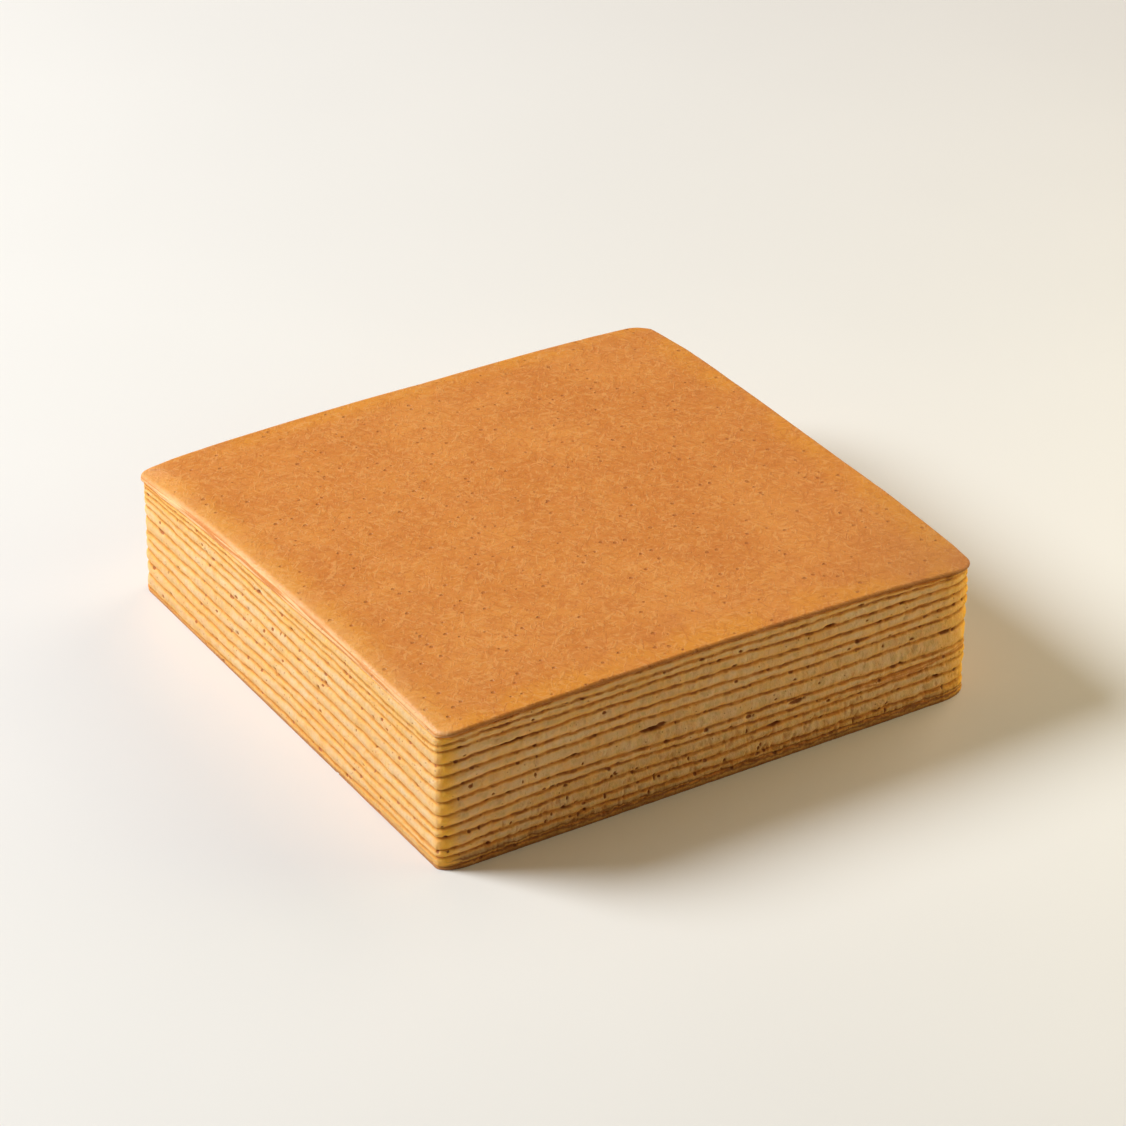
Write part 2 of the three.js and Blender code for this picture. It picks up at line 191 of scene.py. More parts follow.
# The larger holes that the cut sides show: place, height, half length, half height and depth. The
# place is x on the front and y on the left.
LARGE_HOLES = {
    "front": (
        (-24.2, 27.6, 3.2, 0.9, 1.9), (-20.4, 28.4, 2.0, 0.6, 1.4), (88.8, 26.6, 2.2, 0.7, 1.6),
        (42.8, 43.9, 2.0, 0.6, 1.4), (-75.0, 40.6, 7.0, 0.4, 0.9), (-52.2, 27.6, 1.5, 0.5, 1.0),
        (22.8, 13.9, 2.4, 0.6, 1.5), (30.8, 19.6, 2.8, 0.6, 1.5), (-56.2, 9.6, 0.8, 0.5, 0.9),
        (3.8, 6.6, 0.5, 0.6, 0.9), (16.8, 6.6, 0.5, 0.7, 0.9), (-83.2, 5.9, 0.7, 0.6, 0.9),
        (70.8, 43.4, 0.8, 0.4, 0.8), (58.8, 43.4, 0.8, 0.4, 0.8), (53.8, 34.4, 0.8, 0.6, 0.9),
        (6.8, 40.8, 0.9, 0.5, 0.8), (-60.2, 18.9, 0.9, 0.5, 0.8), (85.8, 11.0, 0.9, 0.6, 0.9),
    ),
    "left": (
        (-27.6, 30.2, 1.0, 1.1, 1.6), (-22.6, 26.0, 1.0, 0.8, 1.3), (15.4, 41.4, 1.0, 0.8, 1.5),
        (47.9, 36.9, 1.0, 0.5, 1.1), (41.4, 37.9, 0.9, 0.5, 1.0), (84.4, 28.4, 1.8, 0.5, 1.1),
        (6.4, 17.3, 0.9, 0.6, 1.0), (31.4, 17.3, 0.7, 0.5, 0.9), (72.4, 20.8, 0.8, 0.5, 0.9),
        (-13.6, 9.0, 0.8, 0.5, 1.0), (-33.6, 8.2, 0.9, 0.6, 1.1), (-48.6, 7.0, 0.7, 0.5, 0.9),
        (56.4, 6.2, 0.8, 0.5, 0.9), (46.4, 6.5, 0.8, 0.5, 0.9), (-40.1, 41.3, 0.8, 0.5, 1.0),
        (-5.6, 38.6, 0.7, 0.5, 1.0), (-54.6, 41.3, 0.7, 0.5, 0.9), (-83.6, 24.0, 0.9, 0.6, 1.1),
        (-85.6, 32.9, 0.9, 0.6, 1.0), (-57.6, 34.4, 0.7, 0.5, 0.9),
    ),
}
# Short upright holes low on the front: the ranges of x, height, half length and half height
UPRIGHT_HOLES = 22
UPRIGHT_HOLE_RANGES = ((-88, 94), (4, 15), (0.25, 0.4), (0.45, 0.8))
UPRIGHT_HOLE_DEPTH = 0.7
SMALL_HOLES = 460
SMALL_HOLES_AT_LINES = 0.62  # share of them that lie along a line
OFF_LINE = (-0.1, 0.3)  # the mean and the spread of how far off it they are
SMALL_HOLE_MARGIN = 2
SMALL_HOLE_HALF_HEIGHTS = (0.28, 0.5)
SMALL_HOLE_STRETCHES = (0.8, 2.2)
SMALL_HOLE_DEPTHS = (0.3, 0.9)
HOLE_REACH = 2.2  # in half lengths and half heights
RAGGEDNESS = 0.6
RAGGED_GRAIN = 1.1

# Extra thin brown lines in a wedge of the front: points of x and height.
WEDGE_LINES = (
    ((36, 18.0), (50, 16.9), (62, 15.7), (74, 15.4), (84, 16.6), (95, 18.2)),
    ((52, 17.2), (64, 16.9), (76, 17.0), (88, 18.3), (95, 19.2)),
    ((60, 16.4), (70, 16.2), (80, 16.4), (92, 17.6)),
)
WEDGE_LINE_HALF_WIDTH = 0.3
WEDGE_WANDER = 0.25
WEDGE_GRAIN = 5
WEDGE_FADE = 8

# The bake map. The cut sides are folded into strips, and each flat face has a square spot of its
# own: its corner and its size.
CRUMB_STRIPS = 12
TOP_STRIPS = 4
STRIP_MARGIN = 0.006
BASE_STRIPS_END = 0.5
CRUMB_STRIPS_END = 0.88
TOP_STRIPS_START = 0.9
BASE_UNDER_SPOT = ((0.01, 0.51), 0.48)
CRUMB_UNDER_SPOT = ((0.01, 0.89), 0.1)
CRUMB_OVER_SPOT = ((0.6, 0.89), 0.1)
TOP_UNDER_SPOT = ((0.9, 0.78), 0.09)
SKIN_SPOT_SIZE = 0.87
UNROLLED_ROOM = 5.0  # how much wider on each side than the slab the unrolled skin is
SKIN_SLOT = 1

# Colours of the cut crumb: each material's pale and deep tone, and what lies over them
TONES = (
    ((0.745, 0.47, 0.23), (0.715, 0.415, 0.175)),
    ((0.725, 0.445, 0.20), (0.695, 0.39, 0.155)),
    ((0.755, 0.49, 0.25), (0.725, 0.43, 0.19)),
)
BASE_TONE = ((0.80, 0.45, 0.16), (0.75, 0.385, 0.12))
GOLDEN = (0.86, 0.40, 0.055)
# Mottled painted shade on the rough sides
MOTTLED_SHADE = (0.56, 0.34, 0.11)
LINE = (0.56, 0.185, 0.026)
# Dark streaks in the lines, darkened on the rough sides as painted shade in the grooves
STREAK_AND_SHADE = (0.27, 0.075, 0.01)
# Painted shade in the holes, darker on the rough sides; the specks take the same colour
PIT_SHADE = (0.29, 0.088, 0.016)
SOFT_PIT_SHADE = (0.44, 0.14, 0.033)
FOOT = (0.46, 0.18, 0.07)
# The foot on the rough sides, darkened as painted shade; the thin lines low on the front take it too
DARK_FOOT = (0.24, 0.085, 0.02)
# Painted shade low down, near the floor, most on the front
LOW_SHADE = (0.22, 0.10, 0.03)
# Painted light at the upright edges, where the crumb looks lit through
PAINTED_EDGE_LIGHT = (1.0, 0.47, 0.035)
FOOT_LINES = (1.9, 3.3)  # heights of the thin dark lines low on the front

# Colours of the baked skin
SKIN_TONES = ((0.59, 0.194, 0.035), (0.67, 0.248, 0.050))
SKIN_BROWN = (0.525, 0.16, 0.027)
SKIN_FAWN = (0.70, 0.268, 0.064)
SKIN_GOLDEN = (0.69, 0.262, 0.028)
# Paler skin along the left side, partly a painted highlight
SKIN_LEFT_PALE_AND_HIGHLIGHT = (0.86, 0.43, 0.14)
# Painted shade towards the right corner
SKIN_RIGHT_CORNER_SHADE = (0.30, 0.14, 0.045)
PALE_STROKE = (0.75, 0.34, 0.10)
DEEP_STROKE = (0.47, 0.13, 0.018)
PINHOLE = (0.38, 0.10, 0.012)
# Painted highlight on the rim's side
RIM_HIGHLIGHT = (0.84, 0.43, 0.16)
RIM_STREAK = (0.86, 0.52, 0.24)
RIM_BROWN = (0.60, 0.19, 0.03)
# Painted shade on the rim's side where it takes no highlight
RIM_SHADE = (0.34, 0.11, 0.005)
STROKE_TURNS = (8, 67, 128)  # degrees

CRUMB_SURFACE = {
    "Specular IOR Level": 0.3,
    "Subsurface Weight": 0.45,
    "Subsurface Radius": (1.0, 0.55, 0.25),
    "Subsurface Scale": 0.003,
}
SKIN_SURFACE = {
    "Specular IOR Level": 0.3,
    "Subsurface Weight": 0.1,
    "Subsurface Radius": (1.0, 0.4, 0.15),
    "Subsurface Scale": 0.0015,
}
FLOOR_SURFACE = {"Roughness": 0.5, "Specular IOR Level": 0.3}


def random_for(use):
    """A random generator of its own for each use, so that one use doesn't disturb another."""
    return np.random.default_rng([SEED, *use.encode()])


def mix(start, end, share):
    return start + (end - start) * share


def smooth_step(share):
    share = np.clip(share, 0, 1)
    return share * share * (3 - 2 * share)


def make_noise(use):
    """Smooth noise over space, from about -1 to 1. Its lumps are about a grain apart."""
    slopes = random_for(use).normal(size=(LATTICE, LATTICE, LATTICE, 3))
    slopes /= np.linalg.norm(slopes, axis=-1, keepdims=True)

    def noise(points, grain):
        points = np.asarray(points) / grain
        base = np.floor(points).astype(int)
        part = points - base
        fade = part**3 * (part * (part * 6 - 15) + 10)
        total = np.zeros(points.shape[:-1])
        for corner in itertools.product((0, 1), repeat=3):
            i, j, k = np.moveaxis((base + corner) % LATTICE, -1, 0)
            weight = np.prod(np.where(corner, fade, 1 - fade), axis=-1)
            total += weight * np.sum(slopes[i, j, k] * (part - corner), axis=-1)
        return NOISE_STRENGTH * total

    return noise


crumb_noise = make_noise("crumb")
skin_noise = make_noise("skin")


def relief_of(noise, parts, points):
    return sum(depth * noise(points * (1, 1, tall) + shift, grain) for depth, grain, tall, shift in parts)


# ---- The outline in plan ----


def outline(places, rounds):
    """Plan points of the slab's outline. Places run counterclockwise from 0 to 8: each corner's arc
    takes one unit, and the side after it one more."""
    places = np.asarray(places, float) % 8
    points = np.zeros(places.shape + (2,))
    ends = []
    for number, (name, x, y, start) in enumerate(CORNERS):
        radii = np.array(rounds[name], float)
        centre = np.array((x, y)) * (HALF - radii)
        here = (places >= 2 * number) & (places <= 2 * number + 1)
        angles = start + np.append(places[here] - 2 * number, (0, 1)) * math.pi / 2
        arc = centre + radii * np.stack((np.cos(angles), np.sin(angles)), -1)
        points[here] = arc[:-2]
        ends.append(arc[-2:])
    for number in range(4):
        here = (places > 2 * number + 1) & (places < 2 * number + 2)
        share = (places[here] - 2 * number - 1)[:, None]
        points[here] = mix(ends[number][1], ends[(number + 1) % 4][0], share)
    return points


def even_places(per_side):
    """Places spaced evenly from the middle of each corner to the middle of the next."""
    places = []
    for number in range(4):
        dense = np.linspace(2 * number + 0.5, 2 * number + 2.5, DENSE)
        steps = np.linalg.norm(np.diff(outline(dense, CRUMB_ROUND), axis=0), axis=1)
        along = np.append(0, np.cumsum(steps))
        wanted = np.linspace(0, along[-1], per_side, endpoint=False)
        places.append(np.interp(wanted, along, dense))
    return np.concatenate(places) % 8


def outward(points):
    """The outward directions in plan of a closed counterclockwise outline."""
    along = np.roll(points, -1, axis=0) - np.roll(points, 1, axis=0)
    along /= np.linalg.norm(along, axis=1, keepdims=True)
    return np.stack((along[:, 1], -along[:, 0]), -1)


def angles_of(points):
    """The angles of points round the slab's middle."""
    return np.arctan2(points[:, 1], points[:, 0])


def skin_edge(places, column):
    """One of SKIN_EDGE's measures at these places."""
    table = np.array(SKIN_EDGE)
    before, after = table[-1] - (8, 0, 0, 0), table[0] + (8, 0, 0, 0)
    table = np.vstack((before, table, after))
    number = np.searchsorted(table[:, 0], places, side="right") - 1
    start, end = table[number], table[number + 1]
    share = smooth_step((places - start[:, 0]) / (end[:, 0] - start[:, 0]))
    return mix(start[:, column], end[:, column], share)


# ---- What the frame says ----


def node_name(layer):
    return f"layer_{layer + 1:02d}"


def node_points(layer):
    """A CAD layer's points, each once."""
    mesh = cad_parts[node_name(layer)].data
    points = np.empty(3 * len(mesh.vertices), np.float32)
    mesh.vertices.foreach_get("co", points)
    return np.unique((points.reshape(-1, 3) / MM).round(3), axis=0)


NODE_POINTS = [node_points(layer) for layer in range(LAYER_COUNT)]


def shared_points(layer):
    """The points in which a CAD layer meets the one below it, and the layer's other points."""
    lower = {tuple(point) for point in NODE_POINTS[layer - 1]}
    meets = np.array([tuple(point) in lower for point in NODE_POINTS[layer]])
    return NODE_POINTS[layer][meets], NODE_POINTS[layer][~meets]


class Boundary:
    """Where two layers meet: its height round the outline, and in the middle of the slab."""

    def __init__(self, layer):
        shared, _ = shared_points(layer)
        rim = shared[np.abs(shared[:, :2]).max(axis=1) > RIM_SHARE * HALF]
        angles = angles_of(rim)
        order = np.argsort(angles)
        self.angles = angles[order]
        self.heights = rim[order, 2]
        self.middle = shared[np.argmin(np.hypot(shared[:, 0], shared[:, 1])), 2]

    def at(self, wanted):
        """The height at these angles round the middle, on a smooth closed curve."""
        turn = 2 * math.pi
        x = np.concatenate((self.angles[-2:] - turn, self.angles, self.angles[:3] + turn))
        y = np.concatenate((self.heights[-2:], self.heights, self.heights[:3]))
        gap = np.diff(x)
        rise = np.diff(y) / gap
        slope = np.zeros_like(y)
        slope[1:-1] = (rise[:-1] * gap[1:] + rise[1:] * gap[:-1]) / (gap[:-1] + gap[1:])
        i = np.clip(np.searchsorted(x, wanted, side="right") - 1, 1, len(x) - 3)
        t = (wanted - x[i]) / gap[i]
        bend = gap[i] * t * (1 - t) * ((1 - t) * slope[i] - t * slope[i + 1])
        return mix(y[i], y[i + 1], smooth_step(t)) + bend


class Table:
    """The flat surface that the slab stands on."""

    middle = 0.0

    def at(self, wanted):
        return np.zeros(len(wanted))


BOUNDARIES = [Table()] + [Boundary(layer) for layer in range(1, LAYER_COUNT)]


def terms_over(plan):
    """The terms of a smooth surface over the plan."""
    u, v = plan[..., 0] / HALF, plan[..., 1] / HALF
    powers = itertools.product(range(TOP_TERMS), repeat=2)
    return np.stack([u**i * v**j for i, j in powers], -1)


def fit_top():
    """The dome of the top: the smooth surface through the top layer's own points, off its rim."""
    _, own = shared_points(LAYER_COUNT - 1)
    kept = own[np.abs(own[:, :2]).max(axis=1) < HALF - FLAT_FROM]
    factors, *_ = np.linalg.lstsq(terms_over(kept[:, :2]), kept[:, 2], rcond=None)
    return factors


DOME = fit_top()


def top_height(plan):
    """The height of the dome, with the lift towards its far edges."""
    x, y = plan[..., 0], plan[..., 1]
    near_back, near_right = (smooth_step((each - HALF + LIFT_REACH) / LIFT_REACH) for each in (y, x))
    back = near_back * np.interp(x, *np.array(BACK_LIFT, float).T)
    right = near_right * np.interp(y, *np.array(RIGHT_LIFT, float).T)
    return terms_over(plan) @ DOME + (back + right) / np.maximum(near_back + near_right, 1)


# ---- The columns of points round the cut sides ----


class Columns:
    """Upright columns of points round the cut sides: where they stand, and which way is out."""

    def __init__(self, per_side):
        self.places = even_places(per_side)
        self.count = len(self.places)
        self.plan = outline(self.places, CRUMB_ROUND)
        self.out = outward(self.plan)
        steps = np.linalg.norm(np.roll(self.plan, -1, axis=0) - self.plan, axis=1)
        self.along = np.append(0, np.cumsum(steps)[:-1])
        self.length = steps.sum()
        ends = np.repeat([ROUGHNESS[side] for side in SIDES], 2)
        self.roughness = np.interp(self.places, range(1, 9), ends, period=8)
        self.lines = [self.line(number) for number in range(LAYER_COUNT)]
        self.grooves = [self.groove(number) for number in range(LAYER_COUNT)]

    def line(self, number):
        """The height of a layer's lower edge, which strays a little from the solid's."""
        height = BOUNDARIES[number].at(angles_of(self.plan))
        if number == 0:
            return height
        places = np.column_stack((self.plan, np.full(self.count, LINES_APART * number)))
        stray = sum(share * crumb_noise(places, grain) for share, grain in LINE_GRAINS)
        return height + LINE_WANDER * stray

    def groove(self, number):
        """How deep the groove along a line is."""
        if number == 0:
            return np.full(self.count, FOOT_INSET)
        line = self.lines[number]
        upper = self.lines[number + 1] if number + 1 < LAYER_COUNT else line + TOP_BAND
        thinner = np.minimum(line - self.lines[number - 1], upper - line)
        places = np.column_stack((self.plan, LINES_APART * number - line))
        depth = np.clip(GROOVE_INSET + GROOVE_SHARE * thinner, *GROOVE_LIMITS)
        return depth * (1 + GROOVE_WANDER * crumb_noise(places, GROOVE_GRAIN))

    def place_on(self, side, coordinate):
        """How far round the outline a place on the front or the left side is."""
        here = np.floor(self.places / 2) == SIDES.index(side)
        coordinates = self.plan[here, 0 if side == "front" else 1]
        order = np.argsort(coordinates)
        return np.interp(coordinate, coordinates[order], self.along[here][order])


crumb_columns = Columns(CRUMB_COLUMNS_A_SIDE)
top_columns = Columns(TOP_COLUMNS_A_SIDE)


# ---- The relief of the cut sides ----


def upright_hole(random):
    place, *rest = (random.uniform(*each) for each in UPRIGHT_HOLE_RANGES)
    return crumb_columns.place_on("front", place), *rest, UPRIGHT_HOLE_DEPTH


def small_hole(random):
    column = random.integers(crumb_columns.count)
    line = crumb_columns.lines[random.integers(1, LAYER_COUNT)][column] + random.normal(*OFF_LINE)
    highest = crumb_columns.lines[-1][column] + SMALL_HOLE_MARGIN
    anywhere = random.uniform(SMALL_HOLE_MARGIN, highest)
    height = line if random.random() < SMALL_HOLES_AT_LINES else anywhere
    half_height = random.uniform(*SMALL_HOLE_HALF_HEIGHTS)
    half_length = half_height * random.uniform(*SMALL_HOLE_STRETCHES)
    depth = random.uniform(*SMALL_HOLE_DEPTHS)
    return crumb_columns.along[column], height, half_length, half_height, depth


def make_holes():
    """Every hole: how far round the outline, height, half length, half height and depth."""
    random = random_for("small holes")
    large = [
        (crumb_columns.place_on(side, place), *rest)
        for side, holes in LARGE_HOLES.items()
        for place, *rest in holes
    ]
    upright = [upright_hole(random) for _ in range(UPRIGHT_HOLES)]
    return large + upright + [small_hole(random) for _ in range(SMALL_HOLES)]


HOLES = make_holes()


def hole_relief(columns, points):
    """How deep the holes go at rows of points, and how far each point is in one, from 0 to 1."""
    depth = np.zeros(points.shape[:2])
    inside = np.zeros(points.shape[:2])
    ragged = 1 + RAGGEDNESS * crumb_noise(points + RAGGED_SHIFT, RAGGED_GRAIN)
    for along, height, half_length, half_height, deepest in HOLES:
        gap = (columns.along - along + columns.length / 2) % columns.length - columns.length / 2
        near = np.abs(gap) < HOLE_REACH * half_length
        rise = points[:, near, 2] - height
        if not near.any() or np.abs(rise).min() > HOLE_REACH * half_height:
            continue
        reach = ((gap[near] / half_length) ** 2 + (rise / half_height) ** 2) * ragged[:, near]
        bowl = np.exp(-np.clip(reach, 0, None) ** 2)
        depth[:, near] = np.maximum(depth[:, near], deepest * bowl)
        inside[:, near] = np.maximum(inside[:, near], bowl)
    return depth, inside


def is_front(points):
    return points[..., 1] < -HALF + FRONT_REACH


def crack_share(points):
    """How far each point is in one of the upright cracks, from 0 to 1."""
    off = crumb_noise(points * CRACK_SCALE + CRACK_SHIFT, CRACK_GRAIN) / CRACK_HALF_WIDTH
    on_front = is_front(points) * smooth_step((points[..., 0] + HALF - CORNER_FADE) / CORNER_FADE)
    low = smooth_step((CRACKED_BELOW - points[..., 2]) / CRACKED_BELOW_FADE) * on_front
    patches = crumb_noise(points * CRACKED_SCALE + CRACKED_SHIFT, CRACKED_GRAIN)
    shown = smooth_step((patches - CRACKED_FROM + LOW_CRACKS_MORE * low) / CRACKED_FADE)
    return np.exp(-(off**2)) * shown * mix(OTHER_CRACKS, 1, low)


def wedge_share(points):
    """How far each point is in one of the wedge's thin lines, from 0 to 1."""
    wander = WEDGE_WANDER * crumb_noise(points + WEDGE_SHIFT, WEDGE_GRAIN)
    total = np.zeros(points.shape[:-1])
    for line in WEDGE_LINES:
        x, z = np.array(line, float).T
        height = np.interp(points[..., 0], x, z) + wander
        ends = smooth_step((points[..., 0] - x[0]) / WEDGE_FADE)
        near = np.exp(-(((points[..., 2] - height) / WEDGE_LINE_HALF_WIDTH) ** 2))
        total = np.maximum(total, near * ends * is_front(points))
    return total


def side_band(columns, lower, upper, shares, grooves, slits):
    """Rows of points up a layer's cut side, with its grooves, its bulge and its relief. slits says
    whether a line's slit lies at the lower and at the upper edge."""
    shares = shares[:, None]
    heights = mix(lower, upper, shares)
    plan = np.broadcast_to(columns.plan, heights.shape + (2,))
    points = np.concatenate((plan, heights[..., None]), -1)
    wander = crumb_noise(points * (0.5, 0.5, 2) + BULGE_SHIFT, BULGE_GRAIN)
    pull = np.abs(2 * shares - 1) ** BULGE_SHARPNESS
    profile = mix(BULGE_INSET + BULGE_WANDER * wander, np.where(shares < 0.5, *grooves), pull)
    for wanted, edge in zip(slits, (lower, upper)):
        off = (heights - edge) / SLIT_HALF_WIDTH
        profile = profile + wanted * SLIT_DEPTH * np.exp(-(off**2))
    holes, inside = hole_relief(columns, points)
    cracks = crack_share(points)
    relief = relief_of(crumb_noise, CRUMB_RELIEF, points) + CRACK_DEPTH * cracks
    rise = smooth_step(heights / SMOOTH_FOOT)
    relief = relief * columns.roughness * mix(FOOT_ROUGHNESS, 1, rise)
    inset = np.clip(profile + relief, LEAST_INSET, None) + holes
    points[..., :2] -= columns.out * inset[..., None]
    return points, inside, cracks


def row_shares(rows):
    """Shares from 0 to 1, closer together near both ends."""
    even = np.linspace(0, 1, rows + 1)
    return mix(even, 0.5 - 0.5 * np.cos(math.pi * even), ROW_CROWDING)


# ---- Meshes ----


class Surface:
    """A closed mesh in the making. Each face also has its place on the bake map."""

    VALUES = ("above", "below", "hole", "wedge", "crack", "rough", "rim", "pale")

    def __init__(self):
        self.points = []
        self.values = []
        self.count = 0
        self.faces = []
        self.maps = []
        self.slots = []

    def add_points(self, points, **values):
        """Adds points and returns their numbers, in the same shape. A value not given is 0."""
        shape = points.shape[:-1]
        listed = [np.broadcast_to(values.get(name, 0.0), shape).ravel() for name in self.VALUES]
        self.points.append(points.reshape(-1, 3))
        self.values.append(np.stack(listed, -1))
        numbers = self.count + np.arange(np.prod(shape)).reshape(shape)
        self.count += numbers.size
        return numbers

    def add_faces(self, corners, places, slot=0):
        """corners has a row of point numbers for each face, and places their spots on the map."""
        self.faces.extend(corners.tolist())
        self.maps.append(np.broadcast_to(places, corners.shape + (2,)).reshape(-1, 2))
        self.slots.extend([slot] * len(corners))

    def add_band(self, columns, lower, upper, shares, grooves, slits):
        """A layer's cut side, as rings of point numbers."""
        points, inside, cracks = side_band(columns, lower, upper, shares, grooves, slits)
        thickness = upper - lower
        return self.add_points(
            points,
            above=shares[:, None] * thickness,
            below=(1 - shares)[:, None] * thickness,
            hole=inside,
            wedge=wedge_share(points),
            crack=cracks,
            rough=columns.roughness,
        )

    def add_strips(self, rings, strips, low, high):
        """Joins closed rings, given from the bottom up, with their map folded into strips."""
        rows, count = rings.shape
        row, column = np.mgrid[0 : rows - 1, 0:count].reshape(2, -1)
        per_strip = count // strips
        strip_height = (high - low) / strips
        strip, within = column // per_strip, column % per_strip
        corners, places = [], []
        for up, on in ((0, 0), (0, 1), (1, 1), (1, 0)):
            corners.append(rings[row + up, (column + on) % count])
            u = mix(STRIP_MARGIN, 1 - STRIP_MARGIN, (within + on) / per_strip)
            v = mix(STRIP_MARGIN, strip_height - STRIP_MARGIN, (row + up) / (rows - 1))
            places.append(np.stack((u, low + strip * strip_height + v), -1))
        self.add_faces(np.stack(corners, -1), np.stack(places, 1))

    def add_cap(self, ring, boundary, spot, faces_up):
        """Closes a ring over with ever coarser rings and a middle point. spot says where on the map
        the cap lies."""
        plan = np.concatenate(self.points)[ring, :2]
        rims = boundary.at(angles_of(plan))
        outer = ring
        for fewer, inset in CAP_RINGS:
            every = slice(None, None, len(plan) * fewer // len(outer))
            share = 1 - inset / HALF
            heights = mix(boundary.middle, rims[every], share**2)
            inner = self.add_points(np.column_stack((plan[every] * share, heights)))
            after = np.roll(outer, -1)
            self.add_triangles((outer, after, np.repeat(inner, fewer)), spot, faces_up)
            bridges = (after[fewer - 1 :: fewer], np.roll(inner, -1), inner)
            self.add_triangles(bridges, spot, faces_up)
            outer = inner
        middle = self.add_points(np.array([[0, 0, boundary.middle]]))
        fan = (outer, np.roll(outer, -1), np.repeat(middle, len(outer)))
        self.add_triangles(fan, spot, faces_up)

    def add_triangles(self, corners, spot, faces_up):
        """Triangles of a cap, whose map is their plan."""
        corner, size = spot
        faces = np.stack(corners, -1)
        if not faces_up:
            faces = faces[:, ::-1]
        plan = np.concatenate(self.points)[faces][..., :2]
        self.add_faces(faces, np.array(corner) + size * (plan / (2 * HALF) + 0.5))

    def make(self, name, materials, sharp_rings):
        """The finished mesh object, in metres."""
        mesh = bpy.data.meshes.new(name)
        points = np.concatenate(self.points)
        points[:, :2] = np.clip(points[:, :2], -HALF, HALF)
        mesh.from_pydata(points * MM, [], self.faces)
        for material in materials:
            mesh.materials.append(material)
        mesh.polygons.foreach_set("material_index", np.array(self.slots, np.int32))
        mesh.polygons.foreach_set("use_smooth", np.ones(len(self.faces), bool))
        values = np.concatenate(self.values)
        for number, value_name in enumerate(self.VALUES):
            attribute = mesh.attributes.new(value_name, "FLOAT", "POINT")
            attribute.data.foreach_set("value", values[:, number].astype(np.float32))
        places = mesh.uv_layers.new(name="OFBake")
        places.uv.foreach_set("vector", np.concatenate(self.maps).astype(np.float32).ravel())
        mark_sharp(mesh, sharp_rings)
        mesh.update()
        return add_object(name, mesh)


def add_object(name, data):
    made = bpy.data.objects.new(name, data)
    bpy.context.scene.collection.objects.link(made)
    return made


def mark_sharp(mesh, rings):
    """Keeps the shading of the cut side apart from that of the faces that it meets."""
    ring_of = np.zeros(len(mesh.vertices), int)
    for number, ring in enumerate(rings, 1):
        ring_of[ring] = number
    ends = np.empty(2 * len(mesh.edges), np.int32)
    mesh.edges.foreach_get("vertices", ends)
    start, end = ring_of[ends.reshape(-1, 2)].T
    sharp = mesh.attributes.new("sharp_edge", "BOOLEAN", "EDGE")
    sharp.data.foreach_set("value", (start == end) & (start > 0))


# ---- Pieces ----


def make_crumb_layer(layer, material):
    """One of the layers below the top one, which stands for its solid."""
    columns = crumb_columns
    lower, upper = columns.lines[layer : layer + 2]
    grooves = columns.grooves[layer : layer + 2]
    is_base = layer == 0
    surface = Surface()
    slits = (not is_base, True)
    rings = surface.add_band(columns, lower, upper, row_shares(CRUMB_ROWS), grooves, slits)
    surface.add_strips(rings, CRUMB_STRIPS, 0.0, BASE_STRIPS_END if is_base else CRUMB_STRIPS_END)
    under_spot = BASE_UNDER_SPOT if is_base else CRUMB_UNDER_SPOT
    surface.add_cap(rings[0], BOUNDARIES[layer], under_spot, False)
    surface.add_cap(rings[-1], BOUNDARIES[layer + 1], CRUMB_OVER_SPOT, True)
    piece = surface.make(f"cake_{node_name(layer)}", [material], (rings[0], rings[-1]))
    finish_piece(piece, layer)


def finish_piece(piece, layer):
    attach(piece, "root")
    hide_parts(node_name(layer))


def make_top_layer(crumb, crust):
    """The top layer with its baked skin, which stands for its solid."""
    columns = top_columns
    lower = columns.lines[-1]
    tops = top_height(columns.plan)
    most = tops - lower - UNDER_SKIN_GAP - LEAST_TOP_EDGE
    drop = np.minimum(skin_edge(columns.places, 2), most)
    upper = tops - drop - UNDER_SKIN_GAP
    grooves = (columns.grooves[-1], UNDER_SKIN_INSET)
    surface = Surface()
    slits = (True, False)
    band = surface.add_band(columns, lower, upper, row_shares(TOP_BAND_ROWS), grooves, slits)
    surface.add_strips(band, TOP_STRIPS, TOP_STRIPS_START, 1.0)
    rows = skin_rows(columns, tops, drop)
    down = np.append(np.ones(len(SKIN_LIP)), 1 - SKIN_ANGLES / (math.pi / 2))[:, None]
    rim = surface.add_points(rows, rim=down, pale=skin_edge(columns.places, 3))
    unrolled = unrolled_plan(rows)
    numbers = closed(np.concatenate((band[-1:], rim)))
    add_skin_faces(surface, numbers, closed(np.concatenate((unrolled[:1], unrolled))))
    add_grid_faces(surface, rim[-1], rows[-1])
    surface.add_cap(band[0], BOUNDARIES[-1], TOP_UNDER_SPOT, False)
    piece = surface.make(f"cake_{node_name(LAYER_COUNT - 1)}", [crumb, crust], (band[0],))
    finish_piece(piece, LAYER_COUNT - 1)


def skin_rows(columns, tops, drop):
    """Rows of points over the skin's rim, from its lip up to where it lies flat."""
    skin_plan = outline(columns.places, SKIN_ROUND)
    out = outward(skin_plan)
    roll = skin_edge(columns.places, 1)
    rows = []
    for inset, fall in SKIN_LIP:
        rows.append(np.column_stack((skin_plan - out * inset, tops - drop - fall)))
    for angle in SKIN_ANGLES:
        plan = skin_plan - out * (roll * (1 - math.cos(angle)))[:, None]
        points = np.column_stack((plan, tops - drop * (1 - math.sin(angle))))
        relief = relief_of(skin_noise, SKIN_RELIEF, points)
        inward = (np.abs(relief) + LEAST_INSET) * math.cos(angle)
        points[:, :2] -= out * inward[:, None]
        points[:, 2] += relief * math.sin(angle)
        rows.append(points)
    return np.array(rows)


def ring_at(ring, share):
    """Points of a closed ring at shares of the way round it."""
    place = (share * len(ring)) % len(ring)
    number = np.floor(place).astype(int) % len(ring)
    part = (place - np.floor(place))[..., None]
    return mix(ring[number], ring[(number + 1) % len(ring)], part)


